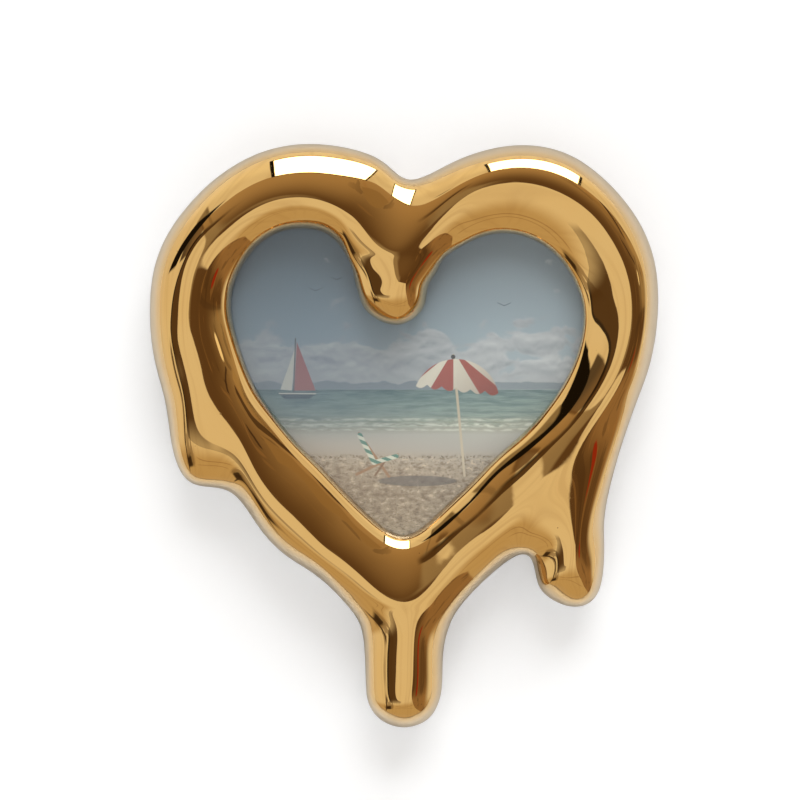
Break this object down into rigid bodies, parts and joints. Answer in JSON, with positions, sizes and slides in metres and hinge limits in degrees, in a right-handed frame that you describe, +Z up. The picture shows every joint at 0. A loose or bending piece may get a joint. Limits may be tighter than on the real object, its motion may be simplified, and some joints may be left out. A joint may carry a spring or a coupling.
{
  "type": "heart shaped photo frame",
  "caption": "Wall-hung heart shaped photo frame with a melted, dripping mirror-gold rim, a glass front and a board back held by turn buttons.",
  "frame": {"origin": "centre of the keyhole hanger's round hole, on the flat back of the frame", "axes": "+Y out of the back, into the wall's side; the picture faces -Y; +Z up as hung; +X to the right seen from the front"},
  "size_m": [0.2046, 0.0295, 0.2348],
  "materials": {
    "gold_finish": "mirror gold plating on cast resin",
    "clear_glass": "clear, slightly hazy",
    "printed_paper": "satin photo paper",
    "grey_card": "matt pulp card",
    "fibre_board": "matt fibre board",
    "black_felt": "flocked felt",
    "zinc_steel": "zinc plated",
    "soft_pad": "matt translucent bumper"
  },
  "bodies": {
    "frame": {"melted_frame": "gold_finish", "hanger_plate": "zinc_steel", "hanger_screws": "zinc_steel", "turn_button_screws": "zinc_steel", "wall_pads": "soft_pad"},
    "back": {"back_board": "fibre_board", "board_felt": "black_felt", "backing_card": "grey_card"},
    "print": {"photo_print": "printed_paper"},
    "glass": {"glass_pane": "clear_glass"},
    "button_1": {"turn_button_1": "zinc_steel"},
    "button_2": {"turn_button_2": "zinc_steel"},
    "button_3": {"turn_button_3": "zinc_steel"},
    "button_4": {"turn_button_4": "zinc_steel"}
  },
  "joints": [
    {"name": "back_lift", "type": "slide", "parent": "frame", "child": "back", "axis": [0, 1, 0], "range_m": [0, 0.09]},
    {"name": "print_lift", "type": "slide", "parent": "frame", "child": "print", "axis": [0, 1, 0], "range_m": [0, 0.06]},
    {"name": "glass_lift", "type": "slide", "parent": "frame", "child": "glass", "axis": [0, 1, 0], "range_m": [0, 0.03]},
    {"name": "button_turn_1", "type": "hinge", "parent": "frame", "child": "button_1", "pos_m": [0.05481, -0.0045, 0.00224], "axis": [0, 1, 0], "continuous": true},
    {"name": "button_turn_2", "type": "hinge", "parent": "frame", "child": "button_2", "pos_m": [0.07318, -0.0045, -0.06633], "axis": [0, 1, 0], "continuous": true},
    {"name": "button_turn_3", "type": "hinge", "parent": "frame", "child": "button_3", "pos_m": [-0.07722, -0.0045, -0.04642], "axis": [0, 1, 0], "continuous": true},
    {"name": "button_turn_4", "type": "hinge", "parent": "frame", "child": "button_4", "pos_m": [-0.04246, -0.0045, 0.0072], "axis": [0, 1, 0], "continuous": true}
  ],
  "couplings": [
    {"joint": "print_lift", "follows": "back_lift", "ratio": 0.6666},
    {"joint": "glass_lift", "follows": "back_lift", "ratio": 0.3333}
  ]
}
